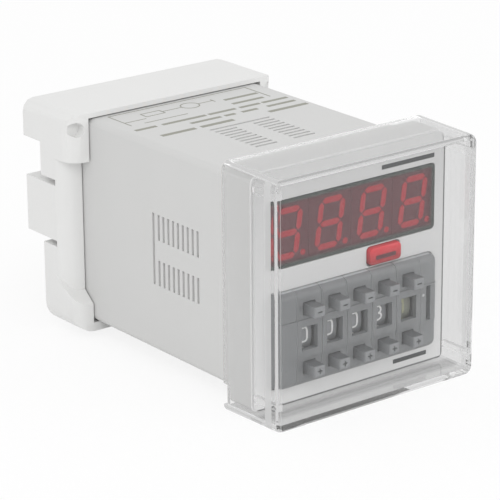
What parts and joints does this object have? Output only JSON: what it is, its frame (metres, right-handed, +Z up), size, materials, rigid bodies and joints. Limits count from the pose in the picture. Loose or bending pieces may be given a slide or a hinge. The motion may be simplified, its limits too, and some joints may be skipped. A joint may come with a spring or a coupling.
{
  "type": "panel counter",
  "caption": "Square plug-in panel counter: lit digits, reset button and pushbutton number wheels behind a clear cover, octal pin base, slide-on mounting bracket.",
  "frame": {"origin": "middle of the bounding box's bottom face, below the middle of the case", "axes": "-Y out of the front face towards the person who reads it, +Y towards the plug, +Z up, +X to the right seen from the front"},
  "size_m": [0.054, 0.0996, 0.0518],
  "materials": {
    "case_plastic": "fine satin moulded finish, light grey",
    "bracket_plastic": "smooth moulded white",
    "clear_plastic": "clear polished moulding",
    "face_film": "satin printed film",
    "smoked_window": "smoked translucent filter",
    "digit_lens": "diffusing segments in a dark face",
    "reset_red": "smooth red moulding",
    "switch_grey": "satin grey moulding",
    "wheel_grey": "satin grey moulding with light numerals",
    "button_grey": "satin grey moulding",
    "black_plastic": "black moulded phenolic",
    "pin_brass": "plated contact pin",
    "plain_steel": "plain drawn steel",
    "core_steel": "stacked laminations",
    "coil_winding": "winding under yellow tape",
    "board_laminate": "green lacquered glass laminate",
    "relay_plastic": "sealed blue moulding",
    "capacitor_sleeve": "shrunk sleeve over an aluminium can"
  },
  "bodies": {
    "housing": {"case": "case_plastic", "front_frame": "case_plastic", "face_plate": "face_film", "display_window": "smoked_window", "reset_switch": "black_plastic", "left_end_cap": "switch_grey", "right_end_cap": "switch_grey", "upper_tie_rod": "plain_steel", "lower_tie_rod": "plain_steel", "display_board": "board_laminate", "number_switch_board": "board_laminate", "power_board": "board_laminate", "logic_board": "board_laminate", "transformer_core": "core_steel", "transformer_coil": "coil_winding", "relay": "relay_plastic", "capacitor": "capacitor_sleeve", "plug_base": "black_plastic", "digit_1": "digit_lens", "digit_2": "digit_lens", "digit_3": "digit_lens", "digit_4": "digit_lens", "decade_housing_1": "switch_grey", "decade_housing_2": "switch_grey", "decade_housing_3": "switch_grey", "decade_housing_4": "switch_grey", "decade_housing_5": "switch_grey", "plug_pin_1": "pin_brass", "plug_pin_2": "pin_brass", "plug_pin_3": "pin_brass", "plug_pin_4": "pin_brass", "plug_pin_5": "pin_brass", "plug_pin_6": "pin_brass", "plug_pin_7": "pin_brass", "plug_pin_8": "pin_brass"},
    "clear_cover": {"clear_cover": "clear_plastic"},
    "mounting_bracket": {"mounting_bracket": "bracket_plastic"},
    "reset_button": {"reset_button": "reset_red"},
    "number_wheel_1": {"number_wheel_1": "wheel_grey"},
    "minus_button_1": {"minus_button_1": "button_grey"},
    "plus_button_1": {"plus_button_1": "button_grey"},
    "number_wheel_2": {"number_wheel_2": "wheel_grey"},
    "minus_button_2": {"minus_button_2": "button_grey"},
    "plus_button_2": {"plus_button_2": "button_grey"},
    "number_wheel_3": {"number_wheel_3": "wheel_grey"},
    "minus_button_3": {"minus_button_3": "button_grey"},
    "plus_button_3": {"plus_button_3": "button_grey"},
    "number_wheel_4": {"number_wheel_4": "wheel_grey"},
    "minus_button_4": {"minus_button_4": "button_grey"},
    "plus_button_4": {"plus_button_4": "button_grey"},
    "number_wheel_5": {"number_wheel_5": "wheel_grey"},
    "minus_button_5": {"minus_button_5": "button_grey"},
    "plus_button_5": {"plus_button_5": "button_grey"}
  },
  "joints": [
    {"name": "cover_pull", "type": "slide", "parent": "housing", "child": "clear_cover", "axis": [0, -1, 0], "range_m": [0, 0.012]},
    {"name": "bracket_slide", "type": "slide", "parent": "housing", "child": "mounting_bracket", "axis": [0, 1, 0], "range_m": [-0.048, 0.01]},
    {"name": "reset_press", "type": "slide", "parent": "housing", "child": "reset_button", "axis": [0, 1, 0], "range_m": [0, 0.0005], "stiffness_N_per_m": 800},
    {"name": "wheel_1_turn", "type": "hinge", "parent": "housing", "child": "number_wheel_1", "pos_m": [-0.0128, -0.03497, 0.0159], "axis": [1, 0, 0], "continuous": true},
    {"name": "minus_press_1", "type": "slide", "parent": "housing", "child": "minus_button_1", "axis": [0, 1, 0], "range_m": [0, 0.0012], "stiffness_N_per_m": 500},
    {"name": "plus_press_1", "type": "slide", "parent": "housing", "child": "plus_button_1", "axis": [0, 1, 0], "range_m": [0, 0.0012], "stiffness_N_per_m": 500},
    {"name": "wheel_2_turn", "type": "hinge", "parent": "housing", "child": "number_wheel_2", "pos_m": [-0.0064, -0.03497, 0.0159], "axis": [1, 0, 0], "continuous": true},
    {"name": "minus_press_2", "type": "slide", "parent": "housing", "child": "minus_button_2", "axis": [0, 1, 0], "range_m": [0, 0.0012], "stiffness_N_per_m": 500},
    {"name": "plus_press_2", "type": "slide", "parent": "housing", "child": "plus_button_2", "axis": [0, 1, 0], "range_m": [0, 0.0012], "stiffness_N_per_m": 500},
    {"name": "wheel_3_turn", "type": "hinge", "parent": "housing", "child": "number_wheel_3", "pos_m": [0, -0.03497, 0.0159], "axis": [1, 0, 0], "continuous": true},
    {"name": "minus_press_3", "type": "slide", "parent": "housing", "child": "minus_button_3", "axis": [0, 1, 0], "range_m": [0, 0.0012], "stiffness_N_per_m": 500},
    {"name": "plus_press_3", "type": "slide", "parent": "housing", "child": "plus_button_3", "axis": [0, 1, 0], "range_m": [0, 0.0012], "stiffness_N_per_m": 500},
    {"name": "wheel_4_turn", "type": "hinge", "parent": "housing", "child": "number_wheel_4", "pos_m": [0.0064, -0.03497, 0.0159], "axis": [1, 0, 0], "continuous": true},
    {"name": "minus_press_4", "type": "slide", "parent": "housing", "child": "minus_button_4", "axis": [0, 1, 0], "range_m": [0, 0.0012], "stiffness_N_per_m": 500},
    {"name": "plus_press_4", "type": "slide", "parent": "housing", "child": "plus_button_4", "axis": [0, 1, 0], "range_m": [0, 0.0012], "stiffness_N_per_m": 500},
    {"name": "wheel_5_turn", "type": "hinge", "parent": "housing", "child": "number_wheel_5", "pos_m": [0.0128, -0.03497, 0.0159], "axis": [1, 0, 0], "continuous": true},
    {"name": "minus_press_5", "type": "slide", "parent": "housing", "child": "minus_button_5", "axis": [0, 1, 0], "range_m": [0, 0.0012], "stiffness_N_per_m": 500},
    {"name": "plus_press_5", "type": "slide", "parent": "housing", "child": "plus_button_5", "axis": [0, 1, 0], "range_m": [0, 0.0012], "stiffness_N_per_m": 500}
  ]
}
